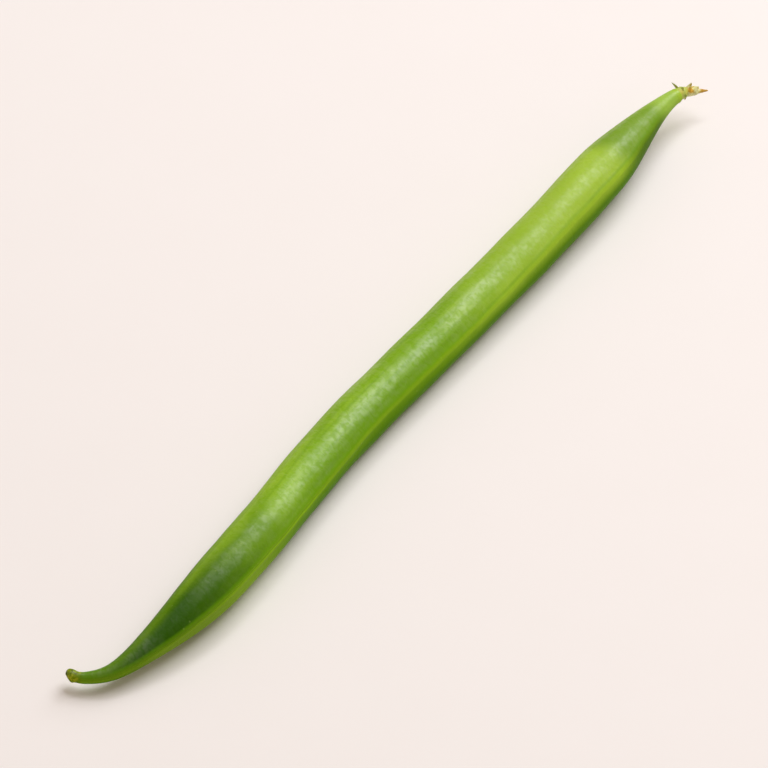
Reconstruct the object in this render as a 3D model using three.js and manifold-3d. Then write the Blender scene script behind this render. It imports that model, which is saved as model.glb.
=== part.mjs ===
// A fresh green bean lying on a table: the pod with its curled tail, the calyx that caps its stem end
// and the short torn stalk that is left on the calyx.
// Lengths are millimetres and +Z is up. +X runs from the tail to the stem end, and the pod rests on z = 0.
import * as THREE from "three";
import { mergeVertices } from "three/addons/utils/BufferGeometryUtils.js";
import Module from "manifold-3d";

const wasm = await Module();
wasm.setup();

// The bean's middle line, from the tip of the tail to the end of the stalk
const ROUTE = [
  [-74.7, 3.3, 2.3],
  [-73.3, 0.4, 2.3],
  [-69.8, -2.2, 2.7],
  [-63.1, -3.5, 3.5],
  [-52.1, -3.9, 4.3],
  [-36.1, -2.4, 4.35],
  [-14.1, 0.7, 3.85],
  [11.9, 1.9, 3.85],
  [35.9, 2.8, 4.35],
  [53.9, 4.0, 4.85],
  [65.9, 5.0, 5.1],
  [72.3, 4.7, 4.95],
  [74.9, 3.2, 4.1],
];

// Driving dimensions of the pod: half its thickness, and how far its two tapers reach
const BODY_RADIUS = 4.05;
const TAIL_RADIUS = 0.78;
const NECK_RADIUS = 0.95;
const TAIL_TAPER = { from: -1, to: 32.5 };
const STEM_TAPER = { from: 129, to: 153 };
const KNOB = { radius: 1.0, length: 1.8, squareness: 3.4, slant: 0.4, slantTurn: -133 };
const END_ROUNDING = 0.35;

// Seeds inside press the two cheeks of the pod out a little
const SEED = { spacing: 14, first: 40, last: 124, swelling: 0.1 };

// The two seams, opposite each other, turn slowly round the pod. Angles are from straight up, and
// positive towards +Y. Distances are from the tip of the tail.
const SEAM = { height: 0.24, halfWidth: 0.62, groove: 0.6, grooveHalfWidth: 0.2, fade: 9, least: 0.25 };
const SEAM_TURNS = [
  [0, -72],
  [42, -69],
  [56, -69],
  [72, -62],
  [95, -64],
  [119, -57],
  [134, -59],
  [155, -68],
];

// How finely the pod is faceted, and how much its facets crowd towards the seams and the two ends
const POD_FACETS = { around: 36, along: 88, towardsSeams: 0.62, towardsEnds: 0.88 };

// The calyx is a small cap with five pointed lobes, and the stalk a stub that ends in torn fibres.
// Lobes and fibres lean out from the way the bean points, and their turns are clockwise from straight up.
// A fibre's foot is its distance from the start of the stalk.
const GAP = 0.3;
const CALYX = { length: 1.0, rootRadius: 0.95, rimRadius: 0.98, topRadius: 0.7, sides: 20 };
const LOBE = { width: 0.8, thickness: 0.64, sunk: 0.4, sides: 8 };
const LOBES = [
  { turn: 295, length: 1.2, lean: 112 },
  { turn: 10, length: 0.7, lean: 60 },
  { turn: 78, length: 0.65, lean: 50 },
  { turn: 150, length: 0.8, lean: 75 },
  { turn: 222, length: 0.7, lean: 60 },
];
const STALK = { length: 1.8, rootRadius: 0.7, waistRadius: 0.66, topRadius: 0.5, sides: 14 };
const FIBRES = [
  { turn: 322, foot: 0.2, length: 1.0, lean: 66, thickness: 1.0 },
  { turn: 10, foot: 0.8, length: 0.9, lean: 20, thickness: 0.7 },
  { turn: 60, foot: 0.9, length: 1.5, lean: 4, thickness: 0.75 },
  { turn: 140, foot: 0.2, length: 0.9, lean: 58, thickness: 0.7 },
  { turn: 236, foot: 0.7, length: 0.8, lean: 30, thickness: 0.64 },
];

const BLADE_CURL = 0.25;
const BLADE_ROWS = 3;

const UP = new THREE.Vector3(0, 0, 1);
const FULL_TURN = 2 * Math.PI;
const { degToRad, smoothstep, lerp } = THREE.MathUtils;

const route = new THREE.CatmullRomCurve3(ROUTE.map((p) => new THREE.Vector3(...p)), false, "catmullrom");
route.arcLengthDivisions = 3000;
const ROUTE_LENGTH = route.getLength();
const POD_LENGTH = ROUTE_LENGTH - STALK.length - CALYX.length - 2 * GAP;

// The place at a distance along the middle line, and the directions forward, left and upward there
function frameAt(distance) {
  const u = THREE.MathUtils.clamp(distance / ROUTE_LENGTH, 0, 1);
  const forward = route.getTangentAt(u);
  const left = new THREE.Vector3().crossVectors(UP, forward).normalize();
  const upward = new THREE.Vector3().crossVectors(forward, left);
  return { centre: route.getPointAt(u), forward, left, upward };
}

// A point at an angle and a radius round the middle line
function around(frame, angle, radius) {
  return frame.centre
    .clone()
    .addScaledVector(frame.upward, radius * Math.cos(angle))
    .addScaledVector(frame.left, radius * Math.sin(angle));
}

// A closed skin round an axis: place(t, turn) gives the point at a share t of the way from one pole to
// the other, and at a share of a full turn
function closedSkin(sides, rows, place) {
  const skin = new THREE.SphereGeometry(1, sides, rows);
  const { position, uv } = skin.attributes;
  for (let i = 0; i < position.count; i++) {
    const turn = (Math.round(uv.getX(i) * sides) % sides) / sides;
    position.setXYZ(i, ...place(1 - uv.getY(i), turn).toArray());
  }
  skin.deleteAttribute("normal");
  skin.deleteAttribute("uv");
  return mergeVertices(skin);
}

// The seam's angle at a distance along the pod, eased between the stated places
function seamAngle(distance) {
  const next = Math.max(1, SEAM_TURNS.findIndex(([at]) => at >= distance));
  const [from, start] = SEAM_TURNS[next - 1];
  const [to, end] = SEAM_TURNS[next];
  return degToRad(lerp(start, end, smoothstep(distance, from, to)));
}

// Half the pod's thickness without its seams and seeds
function podRadius(distance) {
  const swell = smoothstep(distance, TAIL_TAPER.from, TAIL_TAPER.to);
  const narrow = smoothstep(distance, STEM_TAPER.from, STEM_TAPER.to);
  const shaft = lerp(lerp(TAIL_RADIUS, BODY_RADIUS, swell), NECK_RADIUS, narrow);
  const knobShare = (2 * distance) / KNOB.length - 1;
  const knob = KNOB.radius * Math.sqrt(Math.max(0, 1 - Math.abs(knobShare) ** KNOB.squareness));
  const behindKnob = shaft * smoothstep(distance, 0, KNOB.length);
  const end = Math.max(0, 1 - (POD_LENGTH - distance) / END_ROUNDING);
  return Math.max(knob, behindKnob) * Math.sqrt(Math.max(0, 1 - end ** 2));
}

// How far the skin stands out over the nearer seam: a low ridge with a fine groove along its top
function seamHeight(distance, fromSeam, radius) {
  const gap = radius * Math.asin(Math.abs(Math.sin(fromSeam)));
  const ridge = Math.exp(-((gap / SEAM.halfWidth) ** 2));
  const groove = SEAM.groove * Math.exp(-((gap / SEAM.grooveHalfWidth) ** 2));
  const tail = smoothstep(distance, 1, 1 + SEAM.fade);
  const stem = 1 - smoothstep(distance, POD_LENGTH - SEAM.fade, POD_LENGTH - 1);
  const share = Math.min(1, SEAM.least + radius / BODY_RADIUS);
  return SEAM.height * (ridge - groove) * tail * stem * share;
}

// How far the seeds press the cheeks out, midway between the seams
function seedHeight(distance, fromSeam) {
  const wave = 0.5 + 0.5 * Math.cos((FULL_TURN * (distance - SEED.first)) / SEED.spacing);
  const inside =
    smoothstep(distance, SEED.first - SEED.spacing, SEED.first) *
    (1 - smoothstep(distance, SEED.last, SEED.last + SEED.spacing));
  return SEED.swelling * wave * inside * Math.sin(fromSeam) ** 2;
}

// How far the knob's end is cut back on one side
function knobSlant(distance, angle, radius) {
  const side = 1 + Math.cos(angle - degToRad(KNOB.slantTurn));
  return KNOB.slant * radius * side * (1 - smoothstep(distance, 0, KNOB.length));
}

function makePod() {
  const { around: sides, along, towardsSeams, towardsEnds } = POD_FACETS;
  return closedSkin(sides, along, (t, turn) => {
    const distance = POD_LENGTH * (t - (towardsEnds * Math.sin(FULL_TURN * t)) / FULL_TURN);
    const evenly = FULL_TURN * turn;
    const fromSeam = evenly - (towardsSeams * Math.sin(2 * evenly)) / 2;
    const radius = podRadius(distance);
    const relief = seamHeight(distance, fromSeam, radius) + seedHeight(distance, fromSeam);
    const angle = seamAngle(distance) + fromSeam;
    const frame = frameAt(distance);
    const point = around(frame, angle, radius === 0 ? 0 : radius + relief);
    point.addScaledVector(frame.forward, knobSlant(distance, angle, radius));
    point.z = Math.max(0, point.z);
    return point;
  });
}

// A piece whose own axis is +Y, set on the middle line with that axis pointing along it
function setOnRoute(geometry, distance) {
  const { centre, forward, left, upward } = frameAt(distance);
  const turned = new THREE.Matrix4().makeBasis(upward, forward, left);
  return geometry.applyMatrix4(turned.setPosition(centre));
}

// A pointed blade on the axis +Y, whose foot is off the axis and whose tip leans and curls outward
function makeBlade({ turn, length, lean }, { width, thickness, sides }, footRadius, footHeight) {
  const blade = new THREE.ConeGeometry(0.5, length, sides, BLADE_ROWS);
  blade.translate(0, length / 2, 0);
  const { position } = blade.attributes;
  for (let i = 0; i < position.count; i++) {
    const share = position.getY(i) / length;
    position.setX(i, position.getX(i) * thickness + BLADE_CURL * length * share ** 2);
    position.setZ(i, position.getZ(i) * width);
  }
  blade.rotateZ(-degToRad(lean));
  blade.translate(footRadius, footHeight, 0);
  blade.rotateY(degToRad(turn));
  return blade;
}

function toSolid(geometry) {
  const plain = geometry.clone();
  plain.deleteAttribute("normal");
  plain.deleteAttribute("uv");
  const merged = mergeVertices(plain, 1e-5);
  const vertProperties = Float32Array.from(merged.attributes.position.array);
  const triVerts = Uint32Array.from(merged.index.array);
  return new wasm.Manifold(new wasm.Mesh({ numProp: 3, vertProperties, triVerts }));
}

// Several overlapping closed pieces joined as one
function fuse(geometries) {
  const joined = geometries.map(toSolid).reduce((whole, piece) => whole.add(piece));
  const { vertProperties, triVerts } = joined.getMesh();
  const geometry = new THREE.BufferGeometry();
  geometry.setAttribute("position", new THREE.BufferAttribute(vertProperties, 3));
  geometry.setIndex(new THREE.BufferAttribute(triVerts, 1));
  return geometry;
}

// A round solid whose outline is given as heights on its axis +Y and radii
function turned(outline, sides) {
  return new THREE.LatheGeometry(outline.map(([along, radius]) => new THREE.Vector2(radius, along)), sides);
}

function makeCalyx() {
  const { length, rootRadius, rimRadius, topRadius } = CALYX;
  const cap = turned(
    [
      [0, 0],
      [0, rootRadius],
      [length / 3, rimRadius],
      [(2 * length) / 3, (rimRadius + rootRadius) / 2],
      [length, topRadius],
      [length, 0],
    ],
    CALYX.sides,
  );
  const lobes = LOBES.map((lobe) => makeBlade(lobe, LOBE, rimRadius - LOBE.sunk, length / 3));
  return setOnRoute(fuse([cap, ...lobes]), POD_LENGTH + GAP);
}

function makeStalk() {
  const { length, rootRadius, waistRadius, topRadius } = STALK;
  const stub = turned(
    [
      [0, 0],
      [0, rootRadius],
      [length / 2, waistRadius],
      [0.8 * length, topRadius],
      [0.9 * length, 0],
    ],
    STALK.sides,
  );
  const fibres = FIBRES.map((fibre) => {
    const section = { width: fibre.thickness, thickness: fibre.thickness, sides: 3 };
    return makeBlade(fibre, section, topRadius / 2, fibre.foot);
  });
  return setOnRoute(fuse([stub, ...fibres]), POD_LENGTH + CALYX.length + 2 * GAP);
}

function piece(name, geometry, colour, roughness) {
  const material = new THREE.MeshStandardMaterial({ color: colour, roughness, metalness: 0 });
  const mesh = new THREE.Mesh(geometry, material);
  mesh.name = name;
  return mesh;
}

const bean = new THREE.Group();
bean.add(piece("pod", makePod(), 0x7fae3c, 0.42));
bean.add(piece("calyx", makeCalyx(), 0x9cab49, 0.6));
bean.add(piece("stalk", makeStalk(), 0xc9bd7c, 0.8));

// The origin is under the middle of the whole bean
const middle = new THREE.Box3().setFromObject(bean).getCenter(new THREE.Vector3());
bean.position.set(-middle.x, -middle.y, 0);

export default bean;
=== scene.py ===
"""A fresh green bean lying on a pale table, modelled round its CAD frame.

The pod is drawn out straight, ring by ring, and given its seams, the swelling of its seeds and small dents.
Then it is bent along its route. The calyx and the torn stalk are modelled on the same route.
Lengths are metres in the model, and millimetres in the tables below.
"""

import math

import bpy
from mathutils import Matrix, Vector, noise
from mathutils.geometry import interpolate_bezier


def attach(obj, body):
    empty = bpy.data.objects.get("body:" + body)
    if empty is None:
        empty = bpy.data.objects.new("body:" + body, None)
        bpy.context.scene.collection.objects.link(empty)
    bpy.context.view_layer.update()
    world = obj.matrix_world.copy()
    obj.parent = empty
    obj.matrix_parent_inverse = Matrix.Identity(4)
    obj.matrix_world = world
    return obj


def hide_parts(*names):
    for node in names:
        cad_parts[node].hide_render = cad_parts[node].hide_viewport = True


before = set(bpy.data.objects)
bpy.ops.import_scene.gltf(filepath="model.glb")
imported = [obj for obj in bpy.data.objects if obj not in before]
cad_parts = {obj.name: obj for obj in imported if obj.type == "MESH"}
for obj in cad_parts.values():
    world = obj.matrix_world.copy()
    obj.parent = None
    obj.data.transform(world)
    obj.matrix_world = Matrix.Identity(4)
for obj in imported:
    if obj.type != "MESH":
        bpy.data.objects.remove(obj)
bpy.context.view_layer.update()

bl_info = {
    "name": "Green Bean",
    "version": (1, 0, 0),
    "blender": (4, 5, 0),
    "location": "3D View > Sidebar > Green Bean",
    "description": "Models a fresh green bean: its pod, its calyx and its torn stalk",
    "category": "Object",
}

MM = 0.001

# The bean's middle line, from the tip of the tail to the end of the stalk, as in the CAD model
ROUTE = (
    (-74.7, 3.3, 2.3),
    (-73.3, 0.4, 2.3),
    (-69.8, -2.2, 2.7),
    (-63.1, -3.5, 3.5),
    (-52.1, -3.9, 4.3),
    (-36.1, -2.4, 4.35),
    (-14.1, 0.7, 3.85),
    (11.9, 1.9, 3.85),
    (35.9, 2.8, 4.35),
    (53.9, 4.0, 4.85),
    (65.9, 5.0, 5.1),
    (72.3, 4.7, 4.95),
    (74.9, 3.2, 4.1),
)
# The CAD model moves its route by this much, to have the origin under the middle of the bean
CENTRING = (-0.006, -0.12, 0.0)
# How many places the route is measured at from one of its points to the next
ROUTE_STEPS = 120

# Lengths of the calyx and the stalk along the route, and the gaps beside them, as in the CAD model
CALYX_LENGTH = 1.0
STALK_LENGTH = 1.8
GAP = 0.3

# Where the pod swells from its tail to its full thickness, and where it narrows again to its neck
TAIL_TAPER = (-1.0, 32.5)
STEM_TAPER = (129.0, 153.0)
# The pod's end at the neck is rounded off over this length
END_ROUNDING = 0.35

KNOB_LENGTH = 1.8
KNOB_SQUARENESS = 3.4
# The knob's end is cut back slantwise on the side that is turned this far from straight up
KNOB_SLANT, KNOB_SLANT_TURN = 0.4, math.radians(-133)

FIRST_SEED, LAST_SEED = 40.0, 124.0

# How far the nearer seam is turned from straight up, towards +Y, at distances from the tip of the tail
SEAM_TURNS = ((0, -72), (42, -69), (56, -69), (72, -62), (95, -64), (119, -57), (134, -59), (155, -68))
# The seams waver by up to this much, in radians, over about this length
WAVER, WAVER_LENGTH = 0.03, 4.0
# The groove's depth as a share of the seam's height, near the tail and further on, and where it changes
GROOVE_DEPTHS, GROOVE_CHANGE = (0.6, 0.2), (45, 65)
# A vein runs along the skin this far round from the seam
VEIN_TURN = math.radians(108)

# The relief of the skin sets in between these distances from the tip of the tail, and fades out between
# these from the pod's other end
RELIEF_START, RELIEF_END = (1, 10), (9, 1)
# The share of the relief that even the thinnest part keeps
THIN_RELIEF = 0.25
# The length of a dent along the pod, and how closely the dents follow each other round it
DENT_LENGTH, DENT_TURNS = 9.0, 2.2
# How closely the mesh's lengthwise lines crowd at the seams
CROWDING = 0.31


def ease(value, start, end):
    """0 before start, 1 after end and a smooth rise between them"""
    share = min(1.0, max(0.0, (value - start) / (end - start)))
    return share * share * (3 - 2 * share)


def blend(a, b, share):
    """The value at a share of the way from one to another"""
    return a + (b - a) * share


class Route:
    """The smooth middle line of the bean, measured along its length in metres"""

    def __init__(self, points):
        points = [(Vector(p) + Vector(CENTRING)) * MM for p in points]
        before = [2 * points[0] - points[1], *points[:-1]]
        after = [*points[1:], 2 * points[-1] - points[-2]]
        slopes = [(b - a) / 6 for a, b in zip(before, after)]
        self.bends = [(p - s, p, p + s) for p, s in zip(points, slopes)]
        self.places = []
        for (_, start, leaving), (arriving, end, _) in zip(self.bends, self.bends[1:]):
            self.places += interpolate_bezier(start, leaving, arriving, end, ROUTE_STEPS)[:-1]
        self.places.append(points[-1])
        self.lengths = [0.0]
        for a, b in zip(self.places, self.places[1:]):
            self.lengths.append(self.lengths[-1] + (b - a).length)
        self.length = self.lengths[-1]

    def frame_at(self, distance):
        """A matrix that stands at a distance, with X forward, Y to the left and Z upward"""
        after = next((i for i, v in enumerate(self.lengths) if v >= distance), len(self.lengths) - 1)
        after = max(1, after)
        a, b = self.places[after - 1], self.places[after]
        share = (distance - self.lengths[after - 1]) / (self.lengths[after] - self.lengths[after - 1])
        forward = (b - a).normalized()
        left = Vector((0, 0, 1)).cross(forward).normalized()
        turned = Matrix((forward, left, forward.cross(left))).transposed().to_4x4()
        return Matrix.Translation(a.lerp(b, share)) @ turned


route = Route(ROUTE)
POD_LENGTH = route.length - (STALK_LENGTH + CALYX_LENGTH + 2 * GAP) * MM


# Colours


def linear(red, green, blue):
    """The scene's own colour for a colour given as on a screen, from 0 to 255"""
    return tuple(
        v / 12.92 if v <= 0.04045 else ((v + 0.055) / 1.055) ** 2.4
        for v in (red / 255, green / 255, blue / 255)
    ) + (1.0,)


# Properties


def size(name, description, default):
    return bpy.props.FloatProperty(
        name=name,
        description=description,
        default=default,
        unit="LENGTH",
        subtype="DISTANCE",
        precision=5,
    )


def colour(name, description, *screen):
    """A colour property. Its default is given as on a screen, from 0 to 255"""
    return bpy.props.FloatVectorProperty(
        name=name,
        description=description,
        default=linear(*screen),
        size=4,
        subtype="COLOR",
        min=0.0,
        max=1.0,
    )


def angle(name, description, degrees):
    return bpy.props.FloatProperty(
        name=name,
        description=description,
        default=math.radians(degrees),
        subtype="ANGLE",
    )


class PodSettings(bpy.types.PropertyGroup):
    """Sizes and colours of the pod"""

    body_radius: size("Body radius", "Half the thickness of the pod at its middle", 4.1 * MM)
    tail_radius: size("Tail radius", "Half the thickness of the tail behind its knob", 0.78 * MM)
    knob_radius: size("Knob radius", "Half the thickness of the knob at the tip of the tail", 1.0 * MM)
    neck_radius: size("Neck radius", "Half the thickness of the neck under the calyx", 0.95 * MM)
    seed_spacing: size("Seed spacing", "Distance from one seed to the next", 14 * MM)
    seed_swelling: size("Seed swelling", "How far a seed presses the cheeks out", 0.1 * MM)
    seam_height: size("Seam height", "How far a seam stands out", 0.24 * MM)
    seam_half_width: size("Seam half width", "Distance over which a seam falls away", 0.62 * MM)
    groove_half_width: size("Groove half width", "Half the width of the groove along a seam", 0.2 * MM)
    unevenness: size("Unevenness", "Depth of the small dents in the skin", 0.05 * MM)
    ripple_depth: size("Ripple depth", "Depth of the fine ripples across the skin", 0.055 * MM)
    skin: colour("Skin", "Main colour of the pod", 124, 170, 16)
    light_skin: colour("Light skin", "Lighter clouds in the skin", 148, 190, 42)
    # Also laid as painted shade: over the seam and the lower cheek towards the tail, beside the seam and in
    # its groove
    streak_and_shade: colour("Streak", "Streaks along the skin, and the fresher green towards the tail", 92, 140, 6)
    dark_skin: colour("Dark skin", "Deep green of the tail, and of the nicks", 46, 88, 4)
    # Painted shade: a darker green laid over the lower cheek, under the seam
    shaded_lower_cheek: colour("Lower skin", "Plain green of the lower cheek, under the seam", 80, 126, 0)
    yellow_skin: colour("Yellow skin", "Yellow-green along the seam and the vein", 158, 192, 50)
    ripe_skin: colour("Ripe skin", "Light yellow-green of the stretch before the neck", 170, 200, 72)
    cool_skin: colour("Cool skin", "Cooler green where the neck begins", 92, 134, 30)
    # Painted shade: a deep green laid on the neck's underside
    neck_underside_shade: colour("Low neck", "Deep green of the neck's underside", 70, 104, 8)
    pale_skin: colour("Pale skin", "Pale green of the neck's end", 150, 186, 84)
    knob: colour("Knob", "Olive colour of the knob at the tip of the tail", 118, 138, 8)
    knob_light: colour("Knob light", "Light specks of the knob", 164, 172, 38)
    knob_dark: colour("Knob dark", "Dark specks of the knob", 70, 78, 8)
    # Painted shade: the knob's end face is darkened
    shaded_knob_end: colour("Knob end", "Dry end of the knob", 58, 66, 10)
    pore: colour("Pore", "Pale pores in the skin", 190, 208, 120)
    scuff: colour("Scuff", "Dry brown scuffs", 134, 112, 44)
    roughness: bpy.props.FloatProperty(
        name="Roughness",
        description="How dull the waxy skin is",
        default=0.36,
        min=0.0,
        max=1.0,
        subtype="FACTOR",
    )


class CalyxSettings(bpy.types.PropertyGroup):
    """Sizes and colours of the calyx"""

    root_radius: size("Root radius", "Half the thickness where it meets the pod", 0.95 * MM)
    rim_radius: size("Rim radius", "Half the thickness at the root of the lobes", 0.98 * MM)
    top_radius: size("Top radius", "Half the thickness where the stalk leaves", 0.7 * MM)
    lobe_width: size("Lobe width", "Width of a lobe at its foot", 0.9 * MM)
    lobe_thickness: size("Lobe thickness", "Thickness of a lobe at its foot", 0.42 * MM)
    green: colour("Green", "Main colour of the calyx", 176, 194, 92)
    edge: colour("Edge", "Yellower clouds in the green", 196, 190, 72)
    speck: colour("Speck", "Fine darker specks", 146, 152, 50)
    brown: colour("Brown", "Brown of the dried underside", 140, 104, 30)


class StalkSettings(bpy.types.PropertyGroup):
    """Sizes and colours of the torn stalk"""

    root_radius: size("Root radius", "Half the thickness of the stub at its foot", 0.8 * MM)
    top_radius: size("Top radius", "Half the thickness of the stub at its torn end", 0.6 * MM)
    cream: colour("Cream", "Pale dry flesh that shows where the stalk tore", 226, 228, 168)
    straw: colour("Straw", "Colour of the fibres", 200, 176, 78)
    rust: colour("Rust", "Darker patches between the fibres", 178, 122, 22)
    spot: colour("Spot", "Ochre spot at the foot of the stub", 208, 160, 40)
    spike: colour("Spike", "Ochre of the longest fibre's end", 190, 140, 24)
    brown: colour("Brown", "Brown of the dried underside", 158, 100, 34)


class StageSettings(bpy.types.PropertyGroup):
    """The table, the light and the camera"""

    table: colour("Table", "Colour of the table", 238, 236, 240)
    mottle: colour("Mottle", "Faint mottle of the table", 224, 219, 217)
    azimuth: angle("Azimuth", "Side from which the camera looks", -50.9)
    elevation: angle("Elevation", "Camera's angle above the table", 47.5)
    distance: size("Distance", "From the camera to the place it looks at", 4.2)
    aim: bpy.props.FloatVectorProperty(
        name="Aim",
        description="The place the camera looks at",
        default=(0.22 * MM, 3.39 * MM, 2.15 * MM),
        unit="LENGTH",
        subtype="XYZ",
    )
    lens: bpy.props.FloatProperty(
        name="Lens",
        description="Focal length in millimetres",
        default=1320.0,
        unit="CAMERA",
    )


# Modelling helpers


def start_mesh():
    """Leaves nothing selected, so that a new primitive is the only thing an operator acts on"""
    if bpy.context.mode != "OBJECT":
        bpy.ops.object.mode_set(mode="OBJECT")
    bpy.ops.object.select_all(action="DESELECT")


def take(name):
    """The active object, named and with its mesh named alike"""
    made = bpy.context.active_object
    made.name = made.data.name = name
    return made


def apply_modifier(obj, kind, **settings):
    """Adds a modifier, sets it and applies it at once"""
    modifier = obj.modifiers.new(kind.title(), kind)
    for name, value in settings.items():
        setattr(modifier, name, value)
    bpy.context.view_layer.objects.active = obj
    bpy.ops.object.modifier_apply(modifier=modifier.name)


def draw_out(rings):
    """Extrudes the selected ring to each next one: a place on X and a radius, in metres"""
    for (x, radius), (next_x, next_radius) in zip(rings, rings[1:]):
        bpy.ops.mesh.extrude_region_move(TRANSFORM_OT_translate={"value": (next_x - x, 0, 0)})
        grown = next_radius / radius
        bpy.ops.transform.resize(value=(1, grown, grown), center_override=(next_x, 0, 0))


def round_form(name, rings, sides):
    """A closed round form along X, drawn out from its first ring and closed at both ends"""
    start_mesh()
    x, radius = rings[0]
    bpy.ops.mesh.primitive_circle_add(
        vertices=sides, radius=radius, fill_type="TRIFAN", location=(x, 0, 0), rotation=(0, math.pi / 2, 0)
    )
    made = take(name)
    bpy.ops.object.transform_apply(location=True, rotation=True, scale=True)
    mesh = made.data
    bpy.ops.object.mode_set(mode="EDIT")
    bpy.ops.mesh.select_all(action="DESELECT")
    bpy.ops.object.mode_set(mode="OBJECT")
    for edge in mesh.edges:
        ends = [mesh.vertices[i].co for i in edge.vertices]
        edge.select = all(math.hypot(p.y, p.z) > radius / 2 for p in ends)
    bpy.ops.object.mode_set(mode="EDIT")
    bpy.ops.mesh.select_mode(type="EDGE")
    draw_out(rings)
    bpy.ops.mesh.extrude_region_move(TRANSFORM_OT_translate={"value": (0, 0, 0)})
    bpy.ops.mesh.merge(type="CENTER")
    bpy.ops.mesh.select_all(action="SELECT")
    bpy.ops.mesh.normals_make_consistent(inside=False)
    bpy.ops.object.mode_set(mode="OBJECT")
    apply_modifier(made, "SUBSURF", levels=1, render_levels=1)
    bpy.ops.object.shade_smooth()
    return made


def put_on_route(obj, distance):
    """Moves a piece modelled along X to a distance along the route, and applies its place"""
    start_mesh()
    obj.matrix_world = route.frame_at(distance)
    obj.select_set(True)
    bpy.context.view_layer.objects.active = obj
    bpy.ops.object.transform_apply(location=True, rotation=True, scale=True)


def finish_piece(obj, material, node):
    """Gives a piece its material, and ties it to the CAD node that it stands for"""
    obj.data.materials.clear()
    obj.data.materials.append(material)
    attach(obj, "root")
    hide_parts(node)


# Node helpers


def feed(tree, node, **inputs):
    """Gives a node its inputs, values or outputs, by name, with _ for a space, or by number, as in i0"""
    for name, value in inputs.items():
        numbered = name[0] == "i" and name[1:].isdigit()
        socket = node.inputs[int(name[1:])] if numbered else node.inputs[name.replace("_", " ")]
        if isinstance(value, bpy.types.NodeSocket):
            tree.links.new(value, socket)
        else:
            socket.default_value = value
    return node


def add_node(tree, kind, settings=None, **inputs):
    made = tree.nodes.new(kind)
    for name, value in (settings or {}).items():
        setattr(made, name, value)
    return feed(tree, made, **inputs)


def maths(tree, operation, a, b=0.0, c=0.0, clamp=False):
    settings = {"operation": operation, "use_clamp": clamp}
    return add_node(tree, "ShaderNodeMath", settings, i0=a, i1=b, i2=c).outputs[0]


def product(tree, first, *others):
    """Several values multiplied"""
    for other in others:
        first = maths(tree, "MULTIPLY", first, other)
    return first


def apart(tree, value, middle=0.0):
    """How far a value is from a middle one, to either side"""
    return maths(tree, "ABSOLUTE", maths(tree, "SUBTRACT", value, middle))


def rise(tree, value, start, end, low=0.0, high=1.0):
    """A smooth step of a value from low, before start, to high, after end"""
    settings = {"interpolation_type": "SMOOTHSTEP"}
    made = add_node(
        tree,
        "ShaderNodeMapRange",
        settings,
        Value=value,
        From_Min=start,
        From_Max=end,
        To_Min=low,
        To_Max=high,
    )
    return made.outputs[0]


def mix(tree, factor, a, b):
    """The first colour, with the second one laid over it by a factor"""
    settings = {"data_type": "RGBA", "clamp_factor": True}
    return add_node(tree, "ShaderNodeMix", settings, i0=factor, i6=a, i7=b).outputs[2]


def scaled(tree, vector, x, y, z):
    made = add_node(tree, "ShaderNodeVectorMath", {"operation": "MULTIPLY"}, i0=vector, i1=(x, y, z))
    return made.outputs[0]


def component(tree, vector, axis):
    return add_node(tree, "ShaderNodeSeparateXYZ", Vector=vector).outputs[axis]


def distance_to(tree, place, point):
    made = add_node(tree, "ShaderNodeVectorMath", {"operation": "DISTANCE"}, i0=place, i1=point)
    return made.outputs["Value"]


def attribute(tree, name, output="Fac"):
    """What the piece's own mesh notes under that name"""
    return add_node(tree, "ShaderNodeAttribute", {"attribute_name": name}).outputs[output]


def object_place(tree):
    return add_node(tree, "ShaderNodeTexCoord").outputs["Object"]


def noise_value(tree, vector, scale, detail=2.0, roughness=0.5, distortion=0.0):
    made = add_node(
        tree,
        "ShaderNodeTexNoise",
        Vector=vector,
        Scale=scale,
        Detail=detail,
        Roughness=roughness,
        Distortion=distortion,
    )
    return made.outputs["Fac"]


def bump(tree, height, distance, strength=1.0):
    made = add_node(tree, "ShaderNodeBump", Strength=strength, Distance=distance, Height=height)
    return made.outputs["Normal"]


def new_group(name, inputs, outputs):
    """A node group with inputs, as (kind, name, value), and outputs, and the nodes at its two ends"""
    group = bpy.data.node_groups.new(name, "ShaderNodeTree")
    for kind, label, value in inputs:
        socket = group.interface.new_socket(label, in_out="INPUT", socket_type="NodeSocket" + kind)
        if value is not None:
            socket.default_value = value
    for kind, label in outputs:
        group.interface.new_socket(label, in_out="OUTPUT", socket_type="NodeSocket" + kind)
    return group, group.nodes.new("NodeGroupInput").outputs, group.nodes.new("NodeGroupOutput")


def place_group(tree, name, build, straight):
    """Places the group of that name, built the first time it is asked for, and gives its outputs"""
    group = bpy.data.node_groups.get(name) or build(name)
    return add_node(tree, "ShaderNodeGroup", {"node_tree": group}, Straight=straight).outputs


def new_material(name, screen):
    """A material and its Principled shader. The colour, given as on a screen, shows in a solid view"""
    material = bpy.data.materials.new(name)
    material.use_nodes = True
    material.diffuse_color = linear(*screen)
    return material, material.node_tree, material.node_tree.nodes["Principled BSDF"]


def build_plant_grain(name):
    """Fibres along a piece, ripples across it and fine cells, from its straight coordinates in metres"""
    group, given, out = new_group(
        name,
        [("Vector", "Straight", None), ("Float", "Fibre Scale", 900.0), ("Float", "Ripple Scale", 1600.0)],
        [("Float", "Fibres"), ("Float", "Ripples"), ("Float", "Cells")],
    )
    lengthwise = scaled(group, given["Straight"], 0.045, 1.0, 1.0)
    fibres = noise_value(group, lengthwise, given["Fibre Scale"], detail=3.0, roughness=0.6)
    crosswise = scaled(group, given["Straight"], 1.0, 0.7, 0.7)
    ripples = noise_value(group, crosswise, given["Ripple Scale"], distortion=0.8)
    cells = noise_value(group, given["Straight"], 7000.0, detail=1.0)
    feed(group, out, Fibres=fibres, Ripples=ripples, Cells=cells)
    return group


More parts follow.
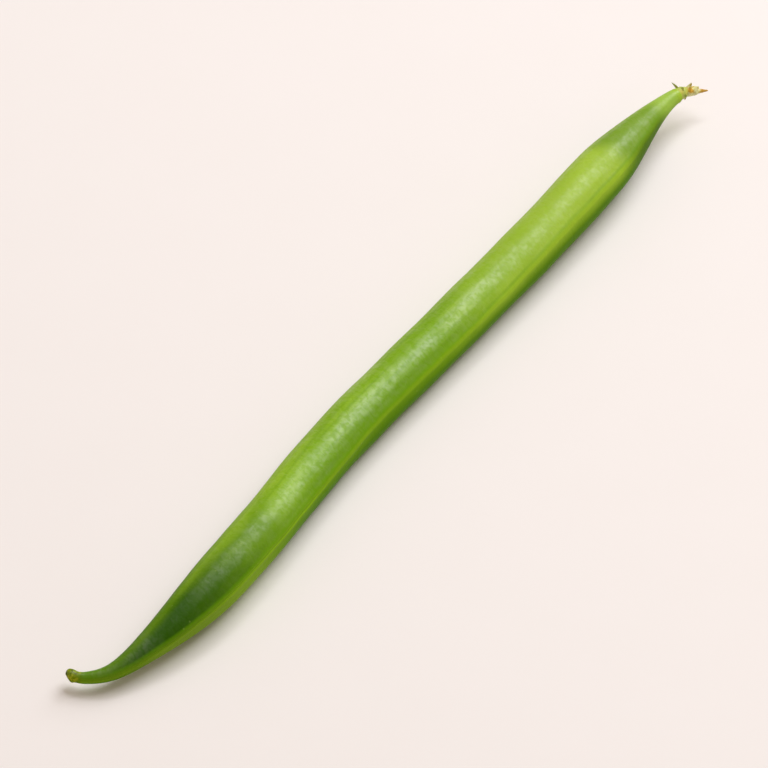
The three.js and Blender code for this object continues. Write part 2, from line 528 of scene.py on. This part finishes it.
def scattered(group, place, scale, near, far, least):
    """Soft spots round the points of a loose grid, kept where a point's chance is over a least one"""
    cell = add_node(group, "ShaderNodeTexVoronoi", Vector=place, Scale=scale).outputs
    spot = rise(group, cell["Distance"], near, far, 1.0, 0.0)
    chance = add_node(group, "ShaderNodeSeparateColor", Color=cell["Color"]).outputs["Red"]
    return product(group, spot, maths(group, "GREATER_THAN", chance, least))


def build_blemishes(name):
    """Small pale pores, short dark nicks across the piece and a few dry brown scuffs"""
    group, given, out = new_group(
        name,
        [("Vector", "Straight", None), ("Float", "Pore Scale", 620.0), ("Float", "Scuff Cover", 0.2)],
        [("Float", "Pores"), ("Float", "Nicks"), ("Float", "Scuffs")],
    )
    pores = scattered(group, given["Straight"], given["Pore Scale"], near=0.03, far=0.13, least=0.6)
    across = scaled(group, given["Straight"], 1.0, 0.16, 0.16)
    nicks = scattered(group, across, 300.0, near=0.02, far=0.06, least=0.72)
    lengthwise = scaled(group, given["Straight"], 0.5, 1.0, 1.0)
    patches = noise_value(group, lengthwise, 260.0, detail=4.0, roughness=0.62, distortion=0.6)
    edge = maths(group, "SUBTRACT", 0.86, product(group, given["Scuff Cover"], 0.3))
    scuffs = rise(group, maths(group, "SUBTRACT", patches, edge), -0.02, 0.03)
    feed(group, out, Pores=pores, Nicks=nicks, Scuffs=scuffs)
    return group


# The pod


def pod_radius(pod, distance):
    """Half the pod's thickness, without its seams and seeds, at a distance in millimetres from the tip"""
    length = POD_LENGTH / MM
    body = blend(pod.tail_radius, pod.body_radius, ease(distance, *TAIL_TAPER))
    shaft = blend(body, pod.neck_radius, ease(distance, *STEM_TAPER))
    knob_share = 2 * distance / KNOB_LENGTH - 1
    knob = pod.knob_radius * math.sqrt(max(0.0, 1 - abs(knob_share) ** KNOB_SQUARENESS))
    end = max(0.0, 1 - (length - distance) / END_ROUNDING)
    return max(knob, shaft * ease(distance, 0, KNOB_LENGTH)) * math.sqrt(max(0.0, 1 - end**2))


def seam_angle(distance):
    """The nearer seam's angle from straight up at a distance in millimetres"""
    for (start, a), (end, b) in zip(SEAM_TURNS, SEAM_TURNS[1:]):
        if distance <= end:
            break
    return math.radians(blend(a, b, ease(distance, start, end)))


def round_gap(radius, turn):
    """The way round the pod from the nearer of a line and the one across from it, signed for its side"""
    return radius * math.asin(max(-1.0, min(1.0, math.sin(turn))))


def skin_relief(pod, distance, from_seam, radius):
    """How far the skin stands out at a place: over the seams, over the seeds and between small dents"""
    length = POD_LENGTH / MM
    gap = round_gap(radius, from_seam)
    ridge = math.exp(-((gap / pod.seam_half_width) ** 2))
    depth = blend(*GROOVE_DEPTHS, ease(distance, *GROOVE_CHANGE))
    groove = depth * math.exp(-((gap / pod.groove_half_width) ** 2))
    ends = ease(distance, *RELIEF_START) * (1 - ease(distance, *(length - p for p in RELIEF_END)))
    thickness = min(1.0, THIN_RELIEF + radius / pod.body_radius)
    seam = pod.seam_height * (ridge - groove) * ends * thickness

    wave = 0.5 + 0.5 * math.cos(2 * math.pi * (distance - FIRST_SEED) * MM / pod.seed_spacing)
    spacing = pod.seed_spacing / MM
    first = ease(distance, FIRST_SEED - spacing, FIRST_SEED)
    last = ease(distance, LAST_SEED, LAST_SEED + spacing)
    seeds = pod.seed_swelling * wave * (first * (1 - last)) * math.sin(from_seam) ** 2

    place = (distance / DENT_LENGTH, DENT_TURNS * math.cos(from_seam), DENT_TURNS * math.sin(from_seam))
    dents = noise.fractal(Vector(place), 1.0, 2.0, 3) * pod.unevenness * thickness * ends
    return seam + seeds + dents


def ring_places(length, finest, coarsest, growth):
    """Distances of rings from one end to the other, closest together at both ends"""
    places, at = [], finest
    while at < length / 2:
        places.append(at)
        at += min(coarsest, finest + growth * at)
    return [*places, *(length - p for p in reversed(places))]


def shape_pod(pod, mesh):
    """Crowds the pod's lengthwise lines at its seams, raises its relief and notes where each point is"""
    count = len(mesh.vertices)
    straight, seam_gap, vein_gap = [0.0] * 3 * count, [0.0] * count, [0.0] * count
    for i, vertex in enumerate(mesh.vertices):
        x, y, z = vertex.co
        distance, radius = x / MM, math.hypot(y, z)
        if radius > 0:
            evenly = math.atan2(y, z) - seam_angle(distance)
            from_seam = evenly - CROWDING * math.sin(2 * evenly)
            wavering = WAVER * noise.noise(Vector((distance / WAVER_LENGTH, 0, 0)))
            angle = seam_angle(distance) + wavering + from_seam
            seam_gap[i] = round_gap(radius, from_seam)
            vein_gap[i] = round_gap(radius, from_seam - VEIN_TURN)
            straight[3 * i : 3 * i + 3] = x, radius * math.sin(angle), radius * math.cos(angle)
            radius += skin_relief(pod, distance, from_seam, radius)
            slant = 1 + math.cos(angle - KNOB_SLANT_TURN)
            x += KNOB_SLANT * radius * slant * (1 - ease(distance, 0, KNOB_LENGTH))
            vertex.co = x, radius * math.sin(angle), radius * math.cos(angle)
        else:
            straight[3 * i] = x
    mesh.attributes.new("straight", "FLOAT_VECTOR", "POINT").data.foreach_set("vector", straight)
    mesh.attributes.new("seam_gap", "FLOAT", "POINT").data.foreach_set("value", seam_gap)
    mesh.attributes.new("vein_gap", "FLOAT", "POINT").data.foreach_set("value", vein_gap)


def route_curve():
    """The route as a Blender curve, for the Curve modifier"""
    start_mesh()
    bpy.ops.curve.primitive_bezier_curve_add(location=(0, 0, 0))
    curve = take("Bean Route")
    curve.data.dimensions = "3D"
    curve.data.twist_mode = "Z_UP"
    curve.data.resolution_u = 64
    spline = curve.data.splines[0]
    spline.bezier_points.add(len(route.bends) - len(spline.bezier_points))
    for point, (left, middle, right) in zip(spline.bezier_points, route.bends):
        point.handle_left_type = point.handle_right_type = "FREE"
        point.handle_left, point.co, point.handle_right = left, middle, right
    return curve


def stretch(tree, along, start, end, low=0.0, high=1.0):
    """A smooth step between two places along the pod, in millimetres

    A place above 0 is measured from the pod's tip, and one below 0 from its other end.
    """
    start, end = (at * MM if at > 0 else POD_LENGTH + at * MM for at in (start, end))
    return rise(tree, along, start, end, low, high)


def beside(tree, gap, start, end, low=0.0, high=1.0):
    """A smooth step between two distances from a line, in millimetres"""
    return rise(tree, gap, start * MM, end * MM, low, high)


class SkinPlaces:
    """What the pod's material is laid by at each place of the skin"""

    def __init__(self, tree):
        self.straight = attribute(tree, "straight", "Vector")
        self.along = component(tree, self.straight, "X")
        # From the nearer of the two seams: above 0 on the upper cheek and below 0 on the lower one
        self.gap = attribute(tree, "seam_gap")
        # From the vein, above 0 beyond it as seen from the seam
        self.vein_side = attribute(tree, "vein_gap")
        self.vein = apart(tree, self.vein_side)

        self.grain = place_group(tree, "Plant Grain", build_plant_grain, self.straight)
        self.marks = place_group(tree, "Blemishes", build_blemishes, self.straight)
        lengthwise = scaled(tree, self.straight, 0.35, 1.0, 1.0)
        self.clouds = noise_value(tree, lengthwise, 190.0, detail=3.0, roughness=0.55)
        # The place along the pod, shifted by the clouds to give each change of green an uneven edge
        self.cloudy_along = maths(tree, "MULTIPLY_ADD", self.clouds, 16 * MM, self.along)

        # The vein is a fine double line that comes and goes
        line = beside(tree, apart(tree, self.vein, 0.34 * MM), 0.04, 0.17, 1.0, 0.0)
        self.vein_line = product(tree, line, rise(tree, self.clouds, 0.25, 0.6))


def lay_greens(tree, pod, at):
    """The skin's clouds and streaks, and how its green changes from the tail to the neck"""
    skin = mix(tree, rise(tree, at.clouds, 0.4, 0.7, 0.0, 0.8), pod.skin, pod.light_skin)
    skin = mix(tree, rise(tree, at.grain["Fibres"], 0.45, 0.7, 0.0, 0.35), skin, pod.streak_and_shade)
    skin = mix(tree, rise(tree, at.grain["Ripples"], 0.55, 0.35, 0.0, 0.1), skin, pod.streak_and_shade)

    # Painted shade: the seam and the lower cheek are darkened towards the tail
    lower_side_shade = beside(tree, at.gap, 3.6, 1.2)
    lower_side_shade = product(tree, lower_side_shade, stretch(tree, at.cloudy_along, 108, 74, 0.0, 0.6))
    skin = mix(tree, lower_side_shade, skin, pod.streak_and_shade)
    ripe = stretch(tree, at.cloudy_along, 92, 126)
    ripe = product(tree, ripe, beside(tree, at.gap, -1.2, 1.2, 0.35, 0.6))
    skin = mix(tree, ripe, skin, pod.ripe_skin)

    # The tail's deep green is thinner at the seam and the vein, except near the tip
    clear = beside(tree, at.gap, 0.1, 0.8, 0.2, 1.0)
    clear = product(tree, clear, beside(tree, at.vein, 0.2, 2.4, 0.5, 1.0))
    deep = product(
        tree,
        stretch(tree, at.cloudy_along, 60, 27),
        maths(tree, "MAXIMUM", clear, stretch(tree, at.along, 18, 40, 0.6, 0.0)),
        stretch(tree, at.along, 3, 12, 0.55, 1.0),
    )
    skin = mix(tree, deep, skin, pod.dark_skin)

    neck_start = maths(tree, "MULTIPLY_ADD", at.clouds, 8 * MM, at.along)
    cool = product(tree, stretch(tree, at.along, -3, -7, 0.0, 0.7), stretch(tree, neck_start, -16, -11))
    return mix(tree, cool, skin, pod.cool_skin)


def lay_lines(tree, pod, at, skin):
    """The yellow vein and its fine line, the lower cheek's painted shade, and the yellow seam with painted
    light and shade
    """
    margin = product(tree, beside(tree, at.vein, 0.2, 1.3, 0.3, 0.0), stretch(tree, at.along, 22, 44))
    skin = mix(tree, margin, skin, pod.yellow_skin)
    skin = mix(tree, product(tree, at.vein_line, 0.2), skin, pod.streak_and_shade)

    olive = product(
        tree,
        stretch(tree, at.along, 5, 16),
        stretch(tree, at.along, 48, 30),
        beside(tree, at.gap, -0.1, -0.5, 0.0, 0.4),
    )
    skin = mix(tree, olive, skin, pod.yellow_skin)
    # Painted shade: the lower cheek, under the seam, is darkened from about 40 mm on
    lower = product(tree, beside(tree, at.gap, -0.2, -2.4), stretch(tree, at.along, 34, 52, 0.0, 0.95))
    skin = mix(tree, lower, skin, pod.shaded_lower_cheek)

    # The seam's line is laid yellow-green: partly its own paler colour, partly painted light on its ridge
    ridge = product(
        tree,
        stretch(tree, at.along, 75, 112, 0.3, 0.5),
        stretch(tree, at.along, -12, -20, 0.3, 1.0),
        beside(tree, apart(tree, at.gap, -0.1 * MM), 0.1, 0.6, 1.0, 0.0),
    )
    skin = mix(tree, ridge, skin, pod.yellow_skin)
    # Painted shade: a darker line just above the seam, beside its ridge
    edge = product(
        tree,
        beside(tree, apart(tree, at.gap, 0.55 * MM), 0.04, 0.4, 0.35, 0.0),
        rise(tree, at.clouds, 0.35, 0.55, 0.3, 1.0),
    )
    skin = mix(tree, edge, skin, pod.streak_and_shade)
    # Painted shade: darker in the seam's groove, most towards the tail
    seam_groove_shade = product(
        tree,
        beside(tree, apart(tree, at.gap), 0.05, 0.2, 0.4, 0.0),
        rise(tree, at.clouds, 0.3, 0.6),
        stretch(tree, at.along, 65, 45, 0.15, 1.0),
    )
    return mix(tree, seam_groove_shade, skin, pod.streak_and_shade)


def lay_neck(tree, pod, at, skin):
    """The painted shade on the neck's underside, its pale end and the yellow at the calyx"""
    # Painted shade: the neck's underside is darkened
    low = product(
        tree,
        beside(tree, at.gap, 0.9, -0.6),
        stretch(tree, at.along, -20, -12),
        stretch(tree, at.along, -3, -7, 0.0, 0.75),
    )
    skin = mix(tree, low, skin, pod.neck_underside_shade)
    skin = mix(tree, stretch(tree, at.along, -8, -3, 0.0, 0.6), skin, pod.pale_skin)
    return mix(tree, stretch(tree, at.along, -2.0, -0.4, 0.0, 0.8), skin, pod.yellow_skin)


def lay_knob(tree, pod, at, skin):
    """The speckled olive knob, and painted shade on its end"""
    specks = noise_value(tree, at.straight, 1500.0)
    knob = mix(tree, rise(tree, specks, 0.5, 0.62), pod.knob, pod.knob_light)
    knob = mix(tree, rise(tree, specks, 0.42, 0.3, 0.0, 0.8), knob, pod.knob_dark)
    uneven = maths(tree, "MULTIPLY_ADD", specks, 0.5 * MM, at.along)
    # Painted shade on the end face of the knob
    knob = mix(tree, stretch(tree, uneven, 0.55, 0.25, 0.0, 0.7), knob, pod.shaded_knob_end)
    return mix(tree, stretch(tree, at.along, 1.5, 3.0, 1.0, 0.0), skin, knob)


def lay_marks(tree, pod, at, skin):
    """The pores, the nicks and the scuffs over all of it"""
    marks = (("Pores", 0.15, pod.pore), ("Nicks", 0.45, pod.dark_skin), ("Scuffs", 0.5, pod.scuff))
    for mark, cover, tint in marks:
        skin = mix(tree, product(tree, at.marks[mark], cover), skin, tint)
    return skin


def skin_bump(tree, pod, at):
    """The fine relief of the fibres, the ripples, the cells, the nicks and the vein's line"""
    height = maths(tree, "MULTIPLY_ADD", at.grain["Fibres"], 0.5, at.grain["Ripples"])
    for value, raised in ((at.grain["Cells"], 0.12), (at.marks["Nicks"], -0.6), (at.vein_line, -0.2)):
        height = maths(tree, "MULTIPLY_ADD", value, raised, height)
    return bump(tree, height, pod.ripple_depth)


def skin_wax(tree, at):
    """How much wax there is: most between the seam and the vein, broken up by ripples and blotches"""
    blotches = noise_value(tree, scaled(tree, at.straight, 1.0, 0.7, 0.7), 620.0, roughness=0.55)
    return product(
        tree,
        beside(tree, at.gap, 0.1, 1.2),
        beside(tree, at.vein_side, 0.8, -1.2, 0.25, 1.0),
        rise(tree, at.grain["Ripples"], 0.35, 0.62, 0.5, 1.0),
        rise(tree, blotches, 0.38, 0.62, 0.6, 1.0),
        maths(tree, "MAXIMUM", stretch(tree, at.along, 16, 64, 0.25, 1.0), stretch(tree, at.along, 19, 11)),
        stretch(tree, at.along, 96, 116, 1.0, 0.7),
    )


def pod_material(pod):
    """Waxy green skin: deep green at the tail, yellow-green along the seams and at the neck, with painted
    shade below
    """
    material, tree, shader = new_material("Pod Skin", (130, 172, 16))
    at = SkinPlaces(tree)
    skin = lay_greens(tree, pod, at)
    for lay in (lay_lines, lay_neck, lay_knob, lay_marks):
        skin = lay(tree, pod, at, skin)
    dull = maths(tree, "MULTIPLY_ADD", at.grain["Ripples"], 0.12, pod.roughness - 0.06)
    dull = maths(tree, "MULTIPLY_ADD", at.marks["Scuffs"], 0.2, dull, clamp=True)
    feed(
        tree,
        shader,
        Base_Color=skin,
        Roughness=dull,
        Normal=skin_bump(tree, pod, at),
        Coat_Weight=skin_wax(tree, at),
        Coat_Roughness=0.38,
        Coat_IOR=1.68,
        IOR=1.36,
        Specular_IOR_Level=0.02,
        Subsurface_Weight=0.06,
        Subsurface_Radius=(0.6 * MM, 1.2 * MM, 0.3 * MM),
        Subsurface_Scale=1.0,
    )
    return material


class BEAN_OT_pod(bpy.types.Operator):
    """Draws the pod out straight, shapes its skin and bends it along the route"""

    bl_idname = "bean.pod"
    bl_label = "Pod"

    def execute(self, context):
        pod = context.scene.bean_pod
        length = POD_LENGTH / MM
        places = ring_places(length, finest=0.02, coarsest=1.3, growth=0.2)
        rings = [(p * MM, pod_radius(pod, p)) for p in places]
        made = round_form("pod_skin", rings, sides=64)
        shape_pod(pod, made.data)
        curve = route_curve()
        apply_modifier(made, "CURVE", object=curve, deform_axis="POS_X")
        bpy.data.objects.remove(curve)
        # The skin is flat where it lies on the table
        for vertex in made.data.vertices:
            vertex.co.z = max(0.0, vertex.co.z)
        finish_piece(made, pod_material(pod), "pod")
        return {"FINISHED"}


# The calyx


# How many times a blade is drawn out, and how full its outline is before its point
BLADE_ROWS = 6
BLADE_FULLNESS = 0.8


def make_blade(name, foot, width, thickness, length, lean, turn, curl, tip):
    """A pointed blade that leans and curls outward, with its angles in degrees

    Its foot is at (place on X, distance off it), and its tip has that share of its width.
    """
    x, off = foot
    start_mesh()
    bpy.ops.mesh.primitive_circle_add(
        vertices=12, radius=0.5, fill_type="NGON", location=(x, 0, off), rotation=(0, math.pi / 2, 0)
    )
    made = take(name)
    bpy.ops.object.transform_apply(location=True, rotation=True, scale=True)
    bpy.ops.object.mode_set(mode="EDIT")
    bpy.ops.mesh.select_all(action="SELECT")
    centre = Vector((x, 0, off))
    bpy.ops.transform.resize(value=(1, width, thickness), center_override=centre)
    left = [1 - row / BLADE_ROWS for row in range(BLADE_ROWS + 1)]
    shares = [max(tip, math.sin(v * math.pi / 2) ** BLADE_FULLNESS) for v in left]
    angle = math.radians(lean)
    for share, next_share in zip(shares, shares[1:]):
        narrow = next_share / share
        step = Vector((math.cos(angle), 0, math.sin(angle))) * length / BLADE_ROWS
        centre = centre + step
        bpy.ops.mesh.extrude_region_move(TRANSFORM_OT_translate={"value": step})
        bpy.ops.transform.resize(value=(narrow, narrow, narrow), center_override=centre)
        angle += math.radians(curl) / BLADE_ROWS
    bpy.ops.mesh.select_all(action="SELECT")
    bpy.ops.mesh.normals_make_consistent(inside=False)
    bpy.ops.transform.rotate(value=-math.radians(turn), orient_axis="X", center_override=(0, 0, 0))
    bpy.ops.object.mode_set(mode="OBJECT")
    apply_modifier(made, "SUBSURF", levels=1, render_levels=1)
    bpy.ops.object.shade_smooth()
    return made


def join(name, pieces):
    """One object made of several"""
    start_mesh()
    for piece in pieces:
        piece.select_set(True)
    bpy.context.view_layer.objects.active = pieces[0]
    bpy.ops.object.join()
    return take(name)


# Each lobe's turn from straight up, its length in millimetres and how far it leans out, in degrees
LOBES = (
    (304, 1.5, 100),
    (10, 0.7, 60),
    (78, 0.7, 56),
    (165, 1.0, 112),
    (232, 0.9, 80),
)
# How much further a lobe has turned outward at its tip, in degrees, and the tip's share of its width
LOBE_CURL, LOBE_TIP = 20, 0.06
# How deep a lobe's foot stands inside the rim
LOBE_DEPTH = 0.3


def calyx_material(calyx):
    """Thin yellow-green leaf, brown underneath where it has dried"""
    material, tree, shader = new_material("Calyx Green", (190, 198, 104))
    place = object_place(tree)
    clouds = noise_value(tree, place, 900.0, detail=3.0, roughness=0.6)
    fine = noise_value(tree, place, 5200.0, roughness=0.6)
    green = mix(tree, rise(tree, clouds, 0.35, 0.7), calyx.green, calyx.edge)
    green = mix(tree, product(tree, fine, 0.35), green, calyx.speck)
    uneven_height = maths(tree, "MULTIPLY_ADD", clouds, 1.2 * MM, component(tree, place, "Z"))
    green = mix(tree, rise(tree, uneven_height, 4.7 * MM, 4.1 * MM, 0.0, 0.7), green, calyx.brown)
    feed(
        tree,
        shader,
        Base_Color=green,
        Roughness=maths(tree, "MULTIPLY_ADD", fine, 0.2, 0.45),
        Normal=bump(tree, fine, 0.05 * MM, strength=0.4),
    )
    return material


class BEAN_OT_calyx(bpy.types.Operator):
    """Models the cap on the neck and its five pointed lobes"""

    bl_idname = "bean.calyx"
    bl_label = "Calyx"

    def execute(self, context):
        calyx = context.scene.bean_calyx
        length = CALYX_LENGTH * MM
        # Each ring's place and its radius. The first ones reach over the gap and onto the neck
        rings = [
            (-3.0 * GAP * MM, calyx.root_radius * 0.9),
            (-2.2 * GAP * MM, calyx.root_radius * 1.02),
            (-1.2 * GAP * MM, calyx.root_radius * 1.05),
            (0.03 * MM, calyx.root_radius * 1.03),
            (0.2 * length, calyx.rim_radius),
            (0.36 * length, calyx.rim_radius),
            (0.5 * length, calyx.rim_radius * 0.96),
            (0.7 * length, calyx.rim_radius * 0.82),
            (0.9 * length, calyx.top_radius * 1.05),
            (length + 1.1 * GAP * MM, calyx.top_radius * 0.85),
        ]
        pieces = [round_form("cap", rings, sides=32)]
        for turn, long, lean in LOBES:
            blade = make_blade(
                "lobe",
                foot=(0.0, calyx.rim_radius - LOBE_DEPTH * MM),
                width=calyx.lobe_width,
                thickness=calyx.lobe_thickness,
                length=long * MM,
                lean=lean,
                turn=turn,
                curl=LOBE_CURL,
                tip=LOBE_TIP,
            )
            pieces.append(blade)
        made = join("calyx_green", pieces)
        put_on_route(made, POD_LENGTH + GAP * MM)
        finish_piece(made, calyx_material(calyx), "calyx")
        return {"FINISHED"}


# The stalk

# Each torn fibre's turn, its foot's distance from the start of the stalk and its length in millimetres,
# its lean in degrees, and its width and thickness in millimetres
FIBRES = (
    (350, -0.1, 1.3, 62, 1.5, 0.6),
    (300, 0.3, 0.8, 48, 0.9, 0.4),
    (15, 0.5, 1.3, 35, 1.4, 0.6),
    (40, 0.9, 2.2, 4, 0.9, 0.6),
    (70, 0.3, 1.2, 20, 0.9, 0.5),
    (150, -0.3, 1.0, 84, 1.0, 0.5),
    (250, 0.2, 0.8, 50, 0.7, 0.36),
)
# How much further a fibre has turned outward at its tip, in degrees, and the tip's share of its width
FIBRE_CURL, FIBRE_TIP = 24, 0.3

# The ochre spot at the stub's foot, measured from the calyx's end, and the radii between which it sets in
OCHRE_SPOT, OCHRE_SPOT_RADII = (0.4, -0.4, 0.7), (0.6, 0.3)
# The end of the longest fibre, measured from the end of the route, and the radii of its ochre
SPIKE_END, SPIKE_END_RADII = (1.2, 0.0, 0.2), (1.5, 0.9)


def soft_spot(tree, place, below, distance, offset, radii, tint):
    """Lays a colour over the one below, round a place that stands off the route at a distance along it"""
    middle = route.frame_at(distance) @ Vector([v * MM for v in offset])
    near = beside(tree, distance_to(tree, place, middle), *radii, 0.0, 0.9)
    return mix(tree, near, below, tint)


def stalk_material(stalk):
    """Dry torn flesh, cream where it tore and brown where its skin dried"""
    material, tree, shader = new_material("Dry Stalk", (196, 176, 84))
    place = object_place(tree)
    clouds = noise_value(tree, place, 1100.0, detail=3.0, roughness=0.6, distortion=0.5)
    fine = noise_value(tree, place, 7000.0, roughness=0.6)
    dry = mix(tree, rise(tree, clouds, 0.47, 0.58), stalk.cream, stalk.straw)
    dry = mix(tree, rise(tree, clouds, 0.58, 0.66), dry, stalk.rust)
    calyx_end = POD_LENGTH + (CALYX_LENGTH + GAP) * MM
    dry = soft_spot(tree, place, dry, calyx_end, OCHRE_SPOT, OCHRE_SPOT_RADII, stalk.spot)
    dry = soft_spot(tree, place, dry, route.length, SPIKE_END, SPIKE_END_RADII, stalk.spike)
    uneven_height = maths(tree, "MULTIPLY_ADD", clouds, 1.6 * MM, component(tree, place, "Z"))
    dry = mix(tree, rise(tree, uneven_height, 5.0 * MM, 4.5 * MM, 0.0, 0.9), dry, stalk.brown)
    feed(
        tree,
        shader,
        Base_Color=dry,
        Roughness=maths(tree, "MULTIPLY_ADD", fine, 0.2, 0.6),
        Normal=bump(tree, fine, 0.06 * MM, strength=0.6),
    )
    return material


class BEAN_OT_stalk(bpy.types.Operator):
    """Models the stub of the stalk and its torn fibres"""

    bl_idname = "bean.stalk"
    bl_label = "Stalk"

    def execute(self, context):
        stalk = context.scene.bean_stalk
        length = STALK_LENGTH * MM
        # Each ring's place and its radius. The first one reaches over the gap to the calyx
        rings = [
            (-0.8 * GAP * MM, stalk.root_radius * 0.9),
            (0.03 * MM, stalk.root_radius),
            (0.3 * length, stalk.root_radius * 0.94),
            (0.6 * length, stalk.top_radius * 1.04),
            (0.8 * length, stalk.top_radius),
            (0.86 * length, stalk.top_radius * 0.7),
        ]
        pieces = [round_form("stub", rings, sides=24)]
        for turn, foot, long, lean, width, thickness in FIBRES:
            blade = make_blade(
                "fibre",
                foot=(foot * MM, stalk.top_radius / 2),
                width=width * MM,
                thickness=thickness * MM,
                length=long * MM,
                lean=lean,
                turn=turn,
                curl=FIBRE_CURL,
                tip=FIBRE_TIP,
            )
            pieces.append(blade)
        made = join("dry_stalk", pieces)
        put_on_route(made, POD_LENGTH + (CALYX_LENGTH + 2 * GAP) * MM)
        finish_piece(made, stalk_material(stalk), "stalk")
        return {"FINISHED"}


# The stage


def direction(azimuth, elevation):
    """From the bean towards a place seen at an azimuth, 0 in front and 90 on +X, and an elevation"""
    return Vector(
        (
            math.sin(azimuth) * math.cos(elevation),
            -math.cos(azimuth) * math.cos(elevation),
            math.sin(elevation),
        )
    )


# The table's side, in metres
TABLE_SIZE = 12.0

# Colour and strength of the light from all round
SKY_COLOUR, SKY_STRENGTH = (1.0, 0.8, 0.6, 1.0), 0.39

# The camera's sensor and how near it sees, in millimetres and in metres
SENSOR_WIDTH, NEAREST_SEEN = 36.0, 0.01

# Each light's azimuth and elevation in degrees, distance and size in metres, power in watts, and colour
LIGHTS = {
    "Key Light": (81, 58, 1.3, 0.95, 11.2, (1.0, 0.99, 0.98)),
    "Rear Light": (130, 64, 1.3, 0.3, 1.7, (1.0, 0.99, 0.98)),
    "Low Light": (90, 32, 1.3, 0.65, 4.2, (1.0, 0.99, 0.98)),
    "Front Light": (-60, 50, 1.1, 0.9, 0.3, (1.0, 1.0, 1.0)),
}


def add_light(name, azimuth, elevation, distance, wide, power, tint):
    start_mesh()
    towards = direction(math.radians(azimuth), math.radians(elevation))
    bpy.ops.object.light_add(type="AREA", location=towards * distance)
    light = take(name)
    light.rotation_euler = towards.to_track_quat("Z", "Y").to_euler()
    light.data.size = wide
    light.data.energy = power
    light.data.color = tint
    light.visible_camera = False


def table_material(stage):
    """Smooth pale table top with a faint mottle"""
    material, tree, shader = new_material("Table Top", (238, 234, 234))
    mottle = noise_value(tree, object_place(tree), 60.0, detail=3.0, roughness=0.6)
    shade = mix(tree, product(tree, mottle, 0.12), stage.table, stage.mottle)
    feed(tree, shader, Base_Color=shade, Roughness=0.7)
    return material


class BEAN_OT_stage(bpy.types.Operator):
    """Lays the table and sets the light and the camera"""

    bl_idname = "bean.stage"
    bl_label = "Stage"

    def execute(self, context):
        stage = context.scene.bean_stage
        start_mesh()
        bpy.ops.mesh.primitive_plane_add(size=TABLE_SIZE, location=(0, 0, 0))
        table = take("table_top")
        table.data.materials.append(table_material(stage))

        for name, values in LIGHTS.items():
            add_light(name, *values)

        world = context.scene.world or bpy.data.worlds.new("Soft Daylight")
        context.scene.world = world
        world.use_nodes = True
        feed(world.node_tree, world.node_tree.nodes["Background"], Color=SKY_COLOUR, Strength=SKY_STRENGTH)

        start_mesh()
        back = direction(stage.azimuth, stage.elevation)
        bpy.ops.object.camera_add(location=Vector(stage.aim) + back * stage.distance)
        camera = take("Camera")
        camera.rotation_euler = back.to_track_quat("Z", "Y").to_euler()
        camera.data.sensor_width = SENSOR_WIDTH
        camera.data.lens = stage.lens
        camera.data.clip_start = NEAREST_SEEN
        context.scene.camera = camera
        context.scene.view_settings.view_transform = "Standard"
        return {"FINISHED"}


class BEAN_PT_panel(bpy.types.Panel):
    """Lists the pieces of the bean and their settings"""

    bl_idname = "BEAN_PT_panel"
    bl_label = "Green Bean"
    bl_space_type = "VIEW_3D"
    bl_region_type = "UI"
    bl_category = "Green Bean"

    def draw(self, context):
        for operator, settings in PANEL_ROWS:
            box = self.layout.box()
            box.operator(operator)
            group = getattr(context.scene, settings)
            for name in group.bl_rna.properties.keys():
                if name not in {"rna_type", "name"}:
                    box.prop(group, name)


SETTINGS = {
    "bean_pod": PodSettings,
    "bean_calyx": CalyxSettings,
    "bean_stalk": StalkSettings,
    "bean_stage": StageSettings,
}
OPERATORS = (BEAN_OT_pod, BEAN_OT_calyx, BEAN_OT_stalk, BEAN_OT_stage)
PANEL_ROWS = tuple(zip((o.bl_idname for o in OPERATORS), SETTINGS))


def register():
    for cls in (*SETTINGS.values(), *OPERATORS, BEAN_PT_panel):
        bpy.utils.register_class(cls)
    for name, cls in SETTINGS.items():
        setattr(bpy.types.Scene, name, bpy.props.PointerProperty(type=cls))


def unregister():
    for name in SETTINGS:
        delattr(bpy.types.Scene, name)
    for cls in reversed((*SETTINGS.values(), *OPERATORS, BEAN_PT_panel)):
        bpy.utils.unregister_class(cls)


def main():
    register()
    bpy.ops.bean.pod()
    bpy.ops.bean.calyx()
    bpy.ops.bean.stalk()
    bpy.ops.bean.stage()


if __name__ == "__main__":
    main()
